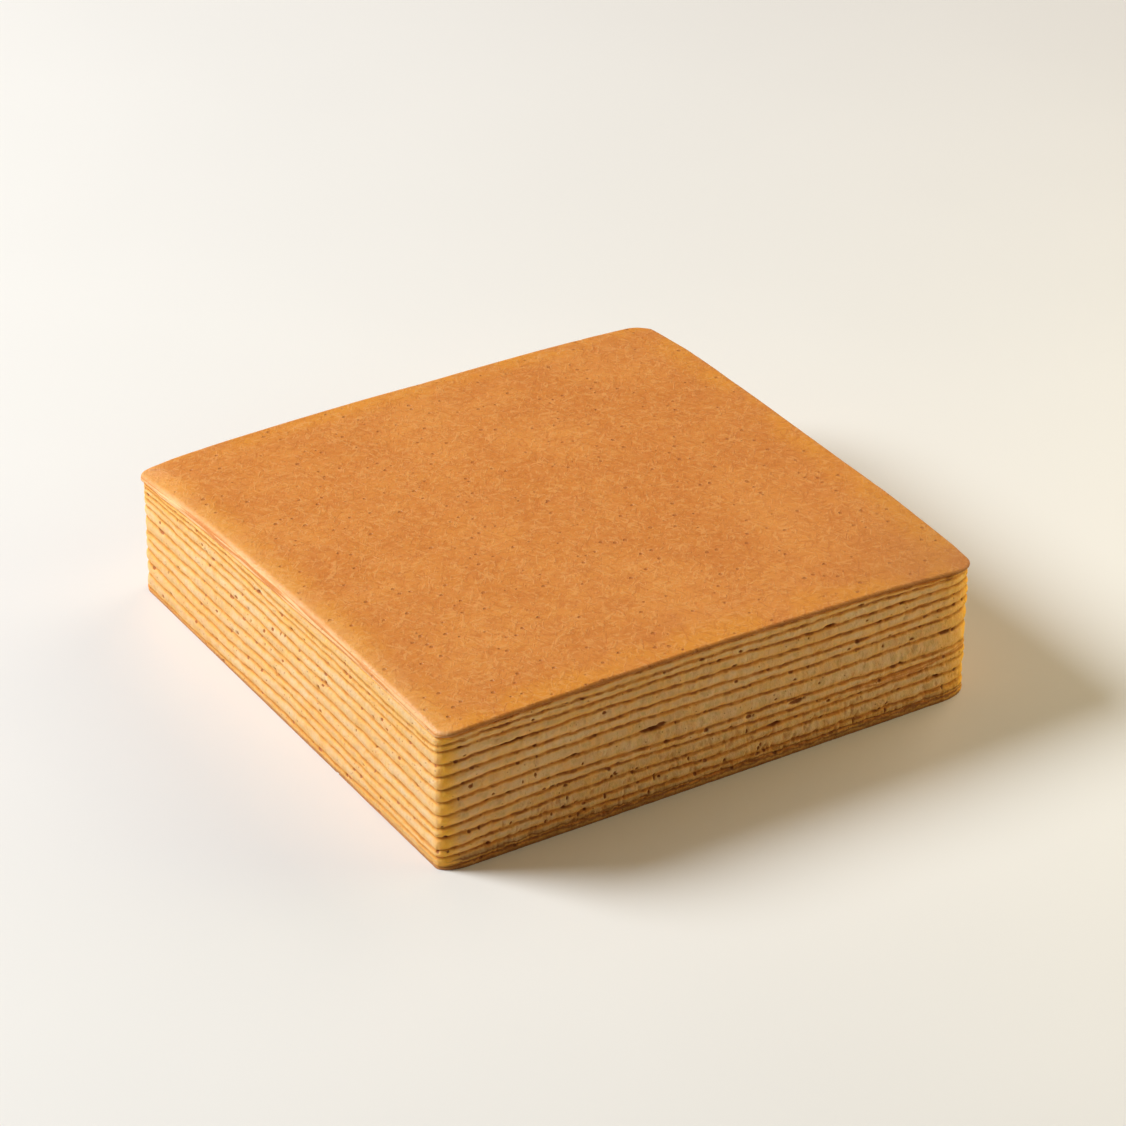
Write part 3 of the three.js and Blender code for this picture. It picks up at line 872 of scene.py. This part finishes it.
def top_grid(rim):
    """The skin's flat part: a square grid of points that blends into the rim, and how far round the
    rim each point lies, from 0 to 1."""
    steps = np.linspace(-1, 1, TOP_COLUMNS_A_SIDE + 1)
    u, v = np.meshgrid(steps, steps)
    reach = np.maximum(np.maximum(np.abs(u), np.abs(v)), 1e-9)
    sides = (v == -reach, u == reach, v == reach, u == -reach)
    shares = ((u / reach + 1) / 2, (v / reach + 1) / 2, (1 - u / reach) / 2, (1 - v / reach) / 2)
    around = np.select(sides, [number + share for number, share in enumerate(shares)]) / 4
    ranges = (GRID_ROUNDING, GRID_RISING)
    rounding, rising = (smooth_step((reach - start) / width) for start, width in ranges)
    even = np.stack((u, v), -1) * np.abs(rim[:, :2]).max()
    blended = mix(even, ring_at(rim[:, :2], around) * reach[..., None], rounding[..., None])
    points = np.concatenate((blended, top_height(blended)[..., None]), -1)
    rim_gap = ring_at((rim[:, 2] - top_height(rim[:, :2]))[:, None], around)[..., 0]
    points[..., 2] += mix(relief_of(skin_noise, SKIN_RELIEF, points), rim_gap, rising)
    points[..., 2] = np.minimum(points[..., 2], CAD_TOP)
    return points, around


def unrolled_plan(rows):
    """Where the rim's rows lie if the skin is rolled out flat."""
    steps = np.linalg.norm(np.diff(rows, axis=0), axis=2)
    lengths = np.cumsum(steps[::-1], axis=0)[::-1]
    lengths = np.concatenate((lengths, np.zeros((1, lengths.shape[1]))))
    return rows[-1, :, :2] + outward(rows[-1, :, :2]) * lengths[..., None]


def closed(rings):
    """Rings that end with their first point once more."""
    return np.concatenate((rings, rings[:, :1]), 1)


def cell_corners(grid):
    return grid[:-1, :-1], grid[:-1, 1:], grid[1:, 1:], grid[1:, :-1]


def add_skin_faces(surface, numbers, plan):
    """Joins a grid of the skin's points. Its map is the rolled-out plan."""
    corners = np.stack(cell_corners(numbers), -1).reshape(-1, 4)
    places = np.stack(cell_corners(plan), 2).reshape(-1, 4, 2)
    places = STRIP_MARGIN + SKIN_SPOT_SIZE * (places / (2 * HALF + 2 * UNROLLED_ROOM) + 0.5)
    surface.add_faces(corners, places, SKIN_SLOT)


def add_grid_faces(surface, rim, rim_points):
    """Fills the rim's last ring with the grid, whose own outermost points are the rim's."""
    points, around = top_grid(rim_points)
    edge = np.ones(around.shape, bool)
    edge[1:-1, 1:-1] = False
    on_rim = np.rint(around[edge] * len(rim)).astype(int) % len(rim)
    numbers = np.empty(around.shape, int)
    numbers[1:-1, 1:-1] = surface.add_points(points[1:-1, 1:-1])
    numbers[edge] = rim[on_rim]
    plan = points[..., :2].copy()
    plan[edge] = rim_points[on_rim, :2]
    add_skin_faces(surface, numbers, plan)


# ---- Materials ----


class Shader:
    """A material in the making. Its colour is painted on in layers."""

    def __init__(self, name):
        self.material = bpy.data.materials.new(name)
        self.material.use_nodes = True
        self.tree = self.material.node_tree
        self.tree.nodes.clear()
        own = self.node("TexCoord").outputs["Object"]
        self.place = self.node("VectorMath", {0: own, "Scale": 1 / MM}, operation="SCALE").outputs[0]
        self.x, self.y, self.z = self.node("SeparateXYZ", {0: self.place}).outputs

    def node(self, kind, inputs=None, **settings):
        made = self.tree.nodes.new("ShaderNode" + kind)
        for name, value in settings.items():
            setattr(made, name, value)
        for key, value in (inputs or {}).items():
            if isinstance(value, bpy.types.NodeSocket):
                self.tree.links.new(value, made.inputs[key])
            else:
                made.inputs[key].default_value = value
        return made

    def attribute(self, name):
        return self.node("Attribute", attribute_name=name).outputs["Fac"]

    def math(self, operation, first, second=0.0):
        return self.node("Math", {0: first, 1: second}, operation=operation).outputs[0]

    def times(self, first, *others):
        for other in others:
            first = self.math("MULTIPLY", first, other)
        return first

    def add(self, first, second, weight=1.0):
        return self.math("ADD", first, self.times(second, weight))

    def ramp(self, value, start, end, low=0.0, high=1.0):
        """Goes smoothly from low to high while the value goes from start to end."""
        inputs = {"Value": value, 1: start, 2: end, 3: low, 4: high}
        made = self.node("MapRange", inputs, interpolation_type="SMOOTHSTEP")
        return made.outputs["Result"]

    def noise(self, grain, detail=2.0, distortion=0.0, stretch=(1, 1, 1), shift=0.0, place=None):
        """Noise whose lumps are about a grain, in millimetres, apart."""
        inputs = {0: place or self.place, 1: stretch, 2: (shift, shift, shift)}
        place = self.node("VectorMath", inputs, operation="MULTIPLY_ADD").outputs[0]
        inputs = {"Vector": place, "Scale": 1 / grain, "Detail": detail, "Distortion": distortion}
        return self.node("TexNoise", inputs).outputs["Fac"]

    def patches(self, grain, start, end, **settings):
        """Patches from 0 to 1, where the noise goes from start to end."""
        return self.ramp(self.noise(grain, **settings), start, end)

    def cells(self, grain, shift=0.0):
        """How far a place is from the nearest of many scattered points, in millimetres, and a
        random number for that point."""
        inputs = {0: self.place, 1: (shift, shift, shift)}
        place = self.node("VectorMath", inputs, operation="ADD").outputs[0]
        made = self.node("TexVoronoi", {"Vector": place, "Scale": 1 / grain})
        number = self.node("SeparateColor", {"Color": made.outputs["Color"]}).outputs[0]
        return self.times(made.outputs["Distance"], grain), number

    def gap_from(self, chosen):
        """How far a place's larger or smaller plan coordinate is from the slab's half side."""
        sizes = [self.math("ABSOLUTE", part) for part in (self.x, self.y)]
        return self.math("SUBTRACT", HALF, self.math(chosen, *sizes))

    def blend(self, share, low, high):
        colours = [(*each, 1.0) if isinstance(each, tuple) else each for each in (low, high)]
        return self.node("Mix", {0: share, 6: colours[0], 7: colours[1]}, data_type="RGBA").outputs[2]

    def paint(self, colour, share, *shares):
        """Lays a colour over what is there, as much of it as the shares' product says."""
        self.colour = self.blend(self.times(share, *shares), self.colour, colour)

    def bump(self, height_mm):
        inputs = {"Height": height_mm, "Strength": 1.0, "Distance": MM}
        return self.node("Bump", inputs).outputs["Normal"]

    def finish(self, inputs):
        surface = self.node("BsdfPrincipled", {"Base Color": self.colour, **inputs}).outputs[0]
        self.node("OutputMaterial", {"Surface": surface})
        return self.material


class Crumb(Shader):
    """Cut crumb: pale cake with brown lines where two layers meet, and brown at the foot, with painted
    shade on the rough sides and painted light at the upright edges.
    """

    def __init__(self, name, pale, deep):
        super().__init__(name)
        self.above, self.below = self.attribute("above"), self.attribute("below")
        self.nearest = self.math("MINIMUM", self.above, self.below)
        self.side = self.attribute("rough")  # how rough the cut side is, and how much painted shade its crumb takes
        self.grains = self.patches(1.1, 0.3, 0.7, shift=23)
        self.strokes = self.patches(1.3, 0.42, 0.68, stretch=(1, 1, 0.5), shift=31)
        self.wobble = self.math("SUBTRACT", self.noise(2.2, shift=37), 0.5)
        gap, number = self.cells(2.1, 5.0)
        self.specks = self.times(self.ramp(gap, 0.16, 0.34, 1.0, 0.0), self.ramp(number, 0.66, 0.74))
        self.paint_cake(pale, deep)
        # Painted light at the upright edges, laid under the lines and again, more weakly, over them
        edge_light = self.painted_edge_light()
        self.paint(PAINTED_EDGE_LIGHT, edge_light, 0.95)
        self.paint_lines()
        self.paint(PAINTED_EDGE_LIGHT, edge_light, 0.35)
        self.paint(LINE, self.attribute("wedge"), 0.9)
        self.paint(LINE, self.attribute("crack"), 0.4)
        self.paint_hole_shade()
        self.paint_foot()

    def paint_cake(self, pale, deep):
        """Cake with golden patches, darkened by mottled painted shade on the rough sides, and by painted
        shade low down, near the floor.
        """
        patches = self.patches(5, 0.4, 0.66, shift=11)
        blotches = self.patches(3.4, 0.5, 0.68, shift=17)
        in_layer = self.ramp(self.nearest, 0.7, 1.7, 0.2, 0.42)
        low = self.ramp(self.z, 1.5, 7.0, 0.66, 0.0)
        self.colour = self.blend(self.patches(24, 0.35, 0.65, detail=1.0), pale, deep)
        self.paint(GOLDEN, patches, 0.4)
        # Mottled painted shade, heavier on the rougher sides, most of all on the front
        self.paint(MOTTLED_SHADE, blotches, self.side, in_layer)
        self.paint(MOTTLED_SHADE, self.strokes, self.side, 0.17)
        self.paint(pale, self.grains, 0.3)
        # Painted shade low down near the floor, on the rough sides
        self.paint(LOW_SHADE, low, self.ramp(patches, 0.0, 0.8, 0.5, 1.0), self.side)

    def painted_edge_light(self):
        """How much painted light the crumb takes at the upright edges, most at the near one, and right of
        the front."""
        edges = self.ramp(self.gap_from("MINIMUM"), 1.5, 8, 1.0, 0.0)
        edges = self.times(edges, self.ramp(self.side, 0.55, 1.0, 0.2, 1.0))
        edges = self.times(edges, self.ramp(self.y, -40, 0, 1.0, 0.35))
        right_end = self.ramp(self.x, HALF - 18, HALF - 4, 0.0, 0.45)
        return self.math("MAXIMUM", edges, self.times(right_end, self.ramp(self.side, 1.1, 1.35)))

    def paint_lines(self):
        """Each line is a browned film with a warm zone on both sides, and dark streaks in it. The zone
        above a line is partly painted shade, and the streaks are darker on the rough sides as painted
        shade.
        """
        strength = self.ramp(self.noise(5, shift=41), 0.3, 0.66, 0.65, 1.0)
        # The warm zone above a line reaches further: it is the browned halo plus painted shade on the
        # band's lower part
        warm_above = self.ramp(self.add(self.above, self.wobble), 0.2, 2.2, 0.85, 0.0)
        warm_below = self.ramp(self.add(self.below, self.wobble), 0.2, 1.5, 0.9, 0.0)
        off = self.add(self.add(self.nearest, self.wobble, 0.4), self.side, -0.12)
        film = self.times(self.ramp(off, 0.0, 0.8, 1.0, 0.0), strength)
        streaks = self.patches(3.4, 0.46, 0.62, stretch=(1, 1, 3), shift=53)
        self.paint(GOLDEN, self.math("MAXIMUM", warm_above, warm_below), strength)
        self.paint(LINE, film)
        # The streaks are painted darker on the rough sides, as shade in the grooves
        self.paint(STREAK_AND_SHADE, film, streaks, self.ramp(self.side, 0.6, 1.4, 0.15, 0.85))

    def paint_hole_shade(self):
        # The holes are painted dark as shade in them, darker on the rough sides; the specks take the same
        # colour.
        pit_shade = self.blend(self.ramp(self.side, 0.6, 1.4), SOFT_PIT_SHADE, PIT_SHADE)
        self.paint(pit_shade, self.ramp(self.attribute("hole"), 0.05, 0.5))
        self.paint(pit_shade, self.specks, 0.7)

    def paint_foot(self):
        """A browned foot, darkened on the rough sides with painted shade, with thin dark lines above it
        on the front.
        """
        foot = self.blend(self.ramp(self.side, 0.7, 1.5), FOOT, DARK_FOOT)
        self.paint(foot, self.ramp(self.add(self.z, self.wobble, 2.0), 0.3, 1.7, 0.85, 0.0))
        for level in FOOT_LINES:
            off = self.math("SUBTRACT", self.add(self.z, self.wobble, 2.2), level)
            thin = self.ramp(self.math("ABSOLUTE", off), 0.1, 0.55, 0.8, 0.0)
            self.paint(DARK_FOOT, thin, self.ramp(self.side, 0.8, 1.4))

    def relief(self):
        fine = self.times(self.noise(0.6, detail=3.0, shift=61), 0.22)
        return self.add(self.add(fine, self.strokes, -0.08), self.specks, -0.2)


def make_crumb(name, pale, deep):
    s = Crumb(name, pale, deep)
    rough = s.ramp(s.grains, 0.0, 1.0, 0.68, 0.88)
    return s.finish({"Roughness": rough, "Normal": s.bump(s.relief()), **CRUMB_SURFACE})


class Skin(Shader):
    """The baked skin: caramel, softly mottled, with fine strands and pinholes."""

    def __init__(self, name):
        super().__init__(name)
        self.broad_patches = self.patches(8, 0.36, 0.66, shift=13)
        self.fine_patches = self.patches(2.2, 0.32, 0.68, shift=29)
        self.pale_strokes, self.deep_strokes = self.strokes()
        self.pinholes = self.make_pinholes()
        self.paint_skin()
        self.paint(PALE_STROKE, self.pale_strokes, 0.5)
        self.paint(DEEP_STROKE, self.deep_strokes, 0.38)
        self.paint(PINHOLE, self.pinholes, 0.65)
        self.paint_ends()
        self.paint_rim()

    def paint_skin(self):
        """Mottled skin, more golden towards the sides."""
        near_sides = self.ramp(self.gap_from("MAXIMUM"), 3, 16, 1.0, 0.0)
        self.colour = self.blend(self.patches(34, 0.34, 0.66, shift=3), *SKIN_TONES)
        self.paint(SKIN_BROWN, self.broad_patches, 0.42)
        self.paint(SKIN_FAWN, self.fine_patches, 0.36)
        self.paint(SKIN_GOLDEN, near_sides, self.patches(17, 0.3, 0.6, detail=1.0, shift=19), 0.75)

    def strokes(self):
        """Short bent strokes that lie every way, pale and deep ones: two shares."""
        pale, deep = 0.0, 0.0
        for number, turn in enumerate(STROKE_TURNS):
            inputs = {0: self.place, "Angle": math.radians(turn)}
            turned = self.node("VectorRotate", inputs, rotation_type="Z_AXIS").outputs[0]
            field = self.noise(1.6, 0.5, 1.5, (0.36, 1, 1), 71 + 16 * number, turned)
            pale = self.math("MAXIMUM", self.ramp(field, 0.58, 0.76), pale)
            deep = self.math("MAXIMUM", self.ramp(field, 0.42, 0.24), deep)
        return pale, deep

    def make_pinholes(self):
        gap, number = self.cells(3.7, 7.0)
        reach = self.ramp(number, 0.2, 1.0, 0.3, 0.75)
        depth = self.ramp(self.math("SUBTRACT", reach, gap), -0.12, 0.3)
        return self.times(depth, self.ramp(number, 0.46, 0.54))

    def paint_ends(self):
        """The skin is painted darker towards the right corner as shade, and paler along the left side,
        partly as a painted highlight.
        """
        rightward = self.math("SUBTRACT", self.x, self.y)
        self.paint(SKIN_RIGHT_CORNER_SHADE, self.ramp(rightward, 1.2 * HALF, 1.95 * HALF, 0.0, 0.27))
        ragged = self.add(self.x, self.fine_patches, 4.0)
        self.paint(SKIN_LEFT_PALE_AND_HIGHLIGHT, self.ramp(ragged, -HALF + 1, -HALF + 13, 1.0, 0.0), 0.45)

    def streaks_along(self, rim):
        """Streaks that run along the skin's edge."""
        across = self.node("CombineXYZ", {"Z": self.math("DIVIDE", rim, 0.16)}).outputs[0]
        shrunk = self.node("VectorMath", {0: self.place, "Scale": 0.03}, operation="SCALE").outputs[0]
        place = self.node("VectorMath", {0: shrunk, 1: across}, operation="ADD").outputs[0]
        made = self.node("TexNoise", {"Vector": place, "Scale": 1.0, "Detail": 1.0})
        return self.ramp(made.outputs["Fac"], 0.42, 0.58)

    def paint_rim(self):
        """The edge's side: a painted highlight and streaks where SKIN_EDGE says so, and painted shade
        elsewhere.
        """
        # pale says how much painted highlight the rim's side takes; where it is 0 the side takes painted
        # shade
        rim, pale = self.attribute("rim"), self.attribute("pale")
        streaks = self.streaks_along(rim)
        lower_side = self.times(self.ramp(rim, 0.35, 0.7), pale)
        self.paint(RIM_HIGHLIGHT, self.ramp(rim, 0.05, 0.5), pale, 0.35)
        self.paint(RIM_STREAK, lower_side, streaks, 0.75)
        self.paint(RIM_BROWN, lower_side, self.math("SUBTRACT", 1.0, streaks), 0.9)
        uneven = self.ramp(self.broad_patches, 0.0, 1.0, 0.7, 0.95)
        self.paint(RIM_SHADE, self.ramp(rim, 0.45, 0.9), self.math("SUBTRACT", 1.0, pale), uneven)

    def relief(self):
        relief = self.add(self.times(self.pale_strokes, 0.07), self.deep_strokes, -0.06)
        relief = self.add(relief, self.pinholes, -0.25)
        return self.add(relief, self.noise(1.2, shift=97), 0.08)


def make_crust():
    s = Skin("baked_skin")
    rough = s.ramp(s.broad_patches, 0.0, 1.0, 0.42, 0.54)
    return s.finish({"Roughness": rough, "Normal": s.bump(s.relief()), **SKIN_SURFACE})


def make_floor():
    s = Shader("pale_floor")
    darker = tuple(FLOOR_DARKENING * value for value in FLOOR_COLOUR)
    s.colour = s.blend(s.patches(FLOOR_PATCHES, 0.3, 0.7), darker, FLOOR_COLOUR)
    mesh = bpy.data.meshes.new("floor")
    half = FLOOR_SIDE / 2
    corners = [(x * half, y * half, 0) for x, y in ((-1, -1), (1, -1), (1, 1), (-1, 1))]
    mesh.from_pydata(corners, [], [(0, 1, 2, 3)])
    mesh.materials.append(s.finish(FLOOR_SURFACE))
    floor = add_object("floor", mesh)


# ---- Camera and light ----


def make_camera():
    data = bpy.data.cameras.new("camera")
    data.sensor_width = SENSOR
    data.lens = FOCAL_LENGTH / PHOTO_SIDE * SENSOR
    yaw, pitch = CAMERA_YAW, CAMERA_PITCH
    back = Vector((math.sin(yaw) * math.cos(pitch), -math.cos(yaw) * math.cos(pitch), math.sin(pitch)))
    right = Vector((math.cos(yaw), math.sin(yaw), 0))
    turn = Matrix((right, back.cross(right), back)).transposed() @ Matrix.Rotation(CAMERA_ROLL, 3, "Z")
    camera = add_object("camera", data)
    camera.matrix_world = Matrix.Translation(CAMERA_TARGET + back * CAMERA_DISTANCE) @ turn.to_4x4()
    bpy.context.scene.camera = camera


def make_light(name, direction, distance, size, watts, colour):
    data = bpy.data.lights.new(name, "AREA")
    data.shape = "DISK"
    data.size = size
    data.energy = watts
    data.color = colour
    direction = Vector(direction).normalized()
    light = add_object(name, data)
    light.location = direction * distance
    light.rotation_euler = direction.to_track_quat("Z", "Y").to_euler()


def make_room():
    world = bpy.data.worlds.new("room")
    world.use_nodes = True
    background = world.node_tree.nodes["Background"]
    background.inputs["Color"].default_value = (*ROOM_COLOUR, 1.0)
    background.inputs["Strength"].default_value = ROOM_STRENGTH
    bpy.context.scene.world = world
    bpy.context.scene.view_settings.view_transform = "Standard"


def make_cake():
    crumbs = [make_crumb(f"crumb_{number + 1}", *tone) for number, tone in enumerate(TONES)]
    make_crumb_layer(0, make_crumb("browned_base", *BASE_TONE))
    for layer in range(1, LAYER_COUNT - 1):
        make_crumb_layer(layer, crumbs[layer % len(crumbs)])
    make_top_layer(crumbs[0], make_crust())


make_camera()
for name, settings in LIGHTS.items():
    make_light(name, *settings)
make_room()
make_floor()
make_cake()
